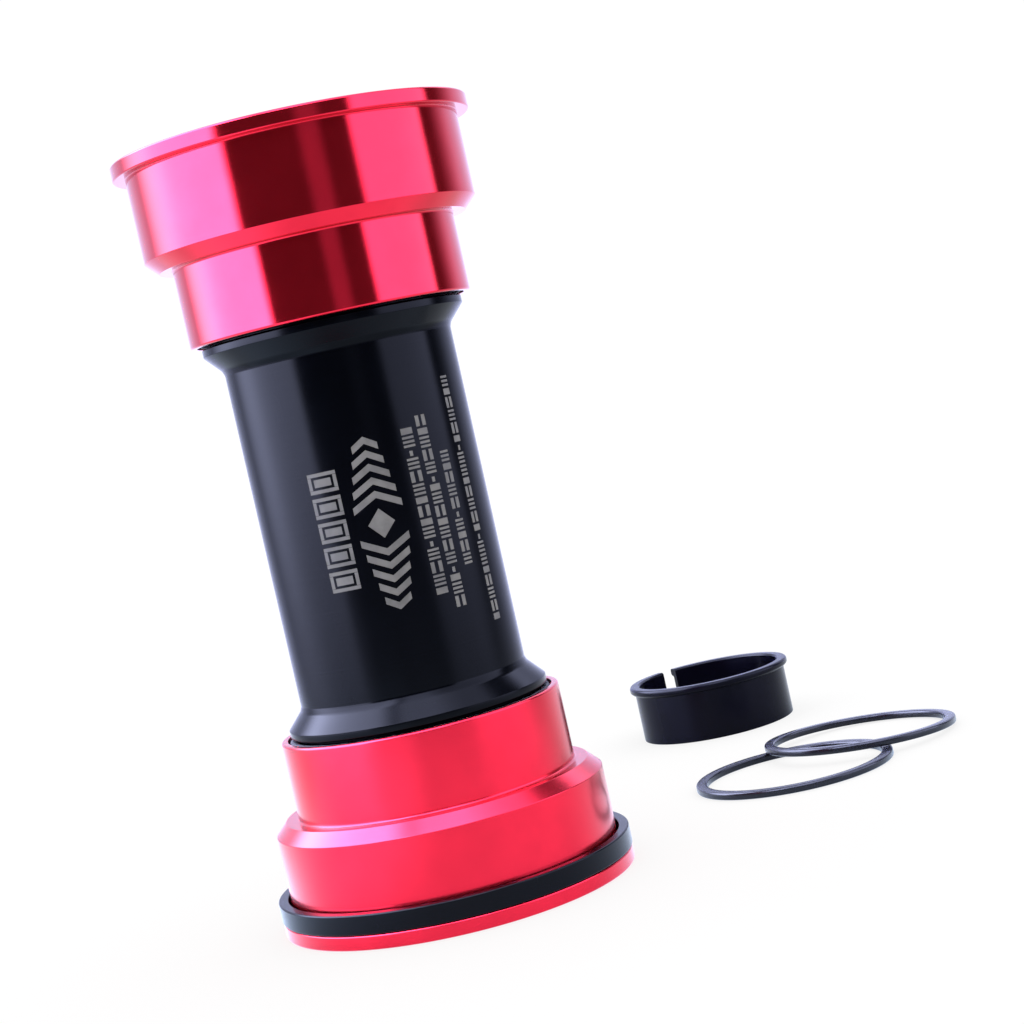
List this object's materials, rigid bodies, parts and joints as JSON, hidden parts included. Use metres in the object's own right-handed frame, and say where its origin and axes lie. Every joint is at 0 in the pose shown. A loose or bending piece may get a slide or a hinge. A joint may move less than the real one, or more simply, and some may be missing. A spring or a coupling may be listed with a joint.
{
  "type": "bottom bracket",
  "caption": "Thread-together press-fit bicycle bottom bracket: flanged cups with ball bearings screwed onto a centre sleeve, with spacer ring, split reducer sleeve and shims.",
  "frame": {"origin": "centre of the set's footprint, on the plane that the lower flange and the loose pieces stand on; the bracket's own axis is at x -25.75 mm, y -33.3 mm", "axes": "+Z along the bracket's axis, from the lower cup to the upper; the loose pieces lie towards +X and +Y of the bracket"},
  "size_m": [0.0958, 0.1108, 0.0956],
  "materials": {
    "red_anodised": "turned, glossy red anodised",
    "black_anodised": "satin black anodised",
    "black_ring": "semi-gloss black anodised",
    "bearing_steel": "ground",
    "ceramic_ball": "polished",
    "cage_polymer": "moulded nylon",
    "seal_rubber": "matt",
    "black_polymer": "moulded, fine satin"
  },
  "bodies": {
    "lower_cup": {"lower_cup": "red_anodised", "lower_bearing_outer_race": "bearing_steel", "lower_outer_seal": "seal_rubber", "lower_inner_seal": "seal_rubber"},
    "lower_bearing_inner": {"lower_bearing_inner_race": "bearing_steel", "lower_dust_cap": "black_polymer"},
    "lower_ball_set": {"lower_ball_cage": "cage_polymer", "lower_ball_01": "ceramic_ball", "lower_ball_02": "ceramic_ball", "lower_ball_03": "ceramic_ball", "lower_ball_04": "ceramic_ball", "lower_ball_05": "ceramic_ball", "lower_ball_06": "ceramic_ball", "lower_ball_07": "ceramic_ball", "lower_ball_08": "ceramic_ball", "lower_ball_09": "ceramic_ball", "lower_ball_10": "ceramic_ball", "lower_ball_11": "ceramic_ball", "lower_ball_12": "ceramic_ball", "lower_ball_13": "ceramic_ball", "lower_ball_14": "ceramic_ball", "lower_ball_15": "ceramic_ball"},
    "lower_o_ring": {"lower_o_ring": "seal_rubber"},
    "centre_sleeve": {"centre_sleeve": "black_anodised"},
    "upper_o_ring": {"upper_o_ring": "seal_rubber"},
    "upper_cup": {"upper_cup": "red_anodised", "upper_bearing_outer_race": "bearing_steel", "upper_outer_seal": "seal_rubber", "upper_inner_seal": "seal_rubber"},
    "upper_bearing_inner": {"upper_bearing_inner_race": "bearing_steel", "upper_dust_cap": "black_polymer"},
    "upper_ball_set": {"upper_ball_cage": "cage_polymer", "upper_ball_01": "ceramic_ball", "upper_ball_02": "ceramic_ball", "upper_ball_03": "ceramic_ball", "upper_ball_04": "ceramic_ball", "upper_ball_05": "ceramic_ball", "upper_ball_06": "ceramic_ball", "upper_ball_07": "ceramic_ball", "upper_ball_08": "ceramic_ball", "upper_ball_09": "ceramic_ball", "upper_ball_10": "ceramic_ball", "upper_ball_11": "ceramic_ball", "upper_ball_12": "ceramic_ball", "upper_ball_13": "ceramic_ball", "upper_ball_14": "ceramic_ball", "upper_ball_15": "ceramic_ball"},
    "spacer_ring": {"spacer_ring": "black_ring"},
    "reducer_sleeve": {"reducer_sleeve": "black_ring"},
    "shim_ring_1": {"shim_ring_1": "black_ring"},
    "shim_ring_2": {"shim_ring_2": "black_ring"}
  },
  "joints": [
    {"name": "lower_bearing_spin", "type": "hinge", "parent": "lower_cup", "child": "lower_bearing_inner", "pos_m": [-0.02575, -0.0333, 0.005], "axis": [0, 0, 1], "continuous": true},
    {"name": "lower_cage_spin", "type": "hinge", "parent": "lower_cup", "child": "lower_ball_set", "pos_m": [-0.02575, -0.0333, 0.005], "axis": [0, 0, 1], "continuous": true},
    {"name": "lower_thread_turn", "type": "hinge", "parent": "lower_cup", "child": "lower_o_ring", "pos_m": [-0.02575, -0.0333, 0.0233], "axis": [0, 0, 1], "range_deg": [0, 2880]},
    {"name": "lower_thread_travel", "type": "slide", "parent": "lower_o_ring", "child": "centre_sleeve", "axis": [0, 0, 1], "range_m": [0, 0.0081]},
    {"name": "upper_thread_turn", "type": "hinge", "parent": "centre_sleeve", "child": "upper_o_ring", "pos_m": [-0.02575, -0.0333, 0.0723], "axis": [0, 0, 1], "range_deg": [0, 2880]},
    {"name": "upper_thread_travel", "type": "slide", "parent": "upper_o_ring", "child": "upper_cup", "axis": [0, 0, 1], "range_m": [0, 0.0081]},
    {"name": "upper_bearing_spin", "type": "hinge", "parent": "upper_cup", "child": "upper_bearing_inner", "pos_m": [-0.02575, -0.0333, 0.0906], "axis": [0, 0, 1], "continuous": true},
    {"name": "upper_cage_spin", "type": "hinge", "parent": "upper_cup", "child": "upper_ball_set", "pos_m": [-0.02575, -0.0333, 0.0906], "axis": [0, 0, 1], "continuous": true},
    {"name": "spacer_ring_slide", "type": "slide", "parent": "lower_cup", "child": "spacer_ring", "axis": [0, 0, 1], "range_m": [0, 0.0892]},
    {"name": "reducer_sleeve_lift", "type": "slide", "parent": "lower_cup", "child": "reducer_sleeve", "axis": [0, 0, 1], "range_m": [0, 0.04]},
    {"name": "shim_ring_1_lift", "type": "slide", "parent": "lower_cup", "child": "shim_ring_1", "axis": [0, 0, 1], "range_m": [0, 0.04]},
    {"name": "shim_ring_2_lift", "type": "slide", "parent": "shim_ring_1", "child": "shim_ring_2", "axis": [0, 0, 1], "range_m": [0, 0.04]}
  ],
  "couplings": [
    {"joint": "lower_cage_spin", "follows": "lower_bearing_spin", "ratio": 0.44355},
    {"joint": "lower_thread_travel", "follows": "lower_thread_turn", "m_per_rad": 0.00015915},
    {"joint": "upper_thread_travel", "follows": "upper_thread_turn", "m_per_rad": 0.00015915},
    {"joint": "upper_cage_spin", "follows": "upper_bearing_spin", "ratio": 0.44355}
  ]
}
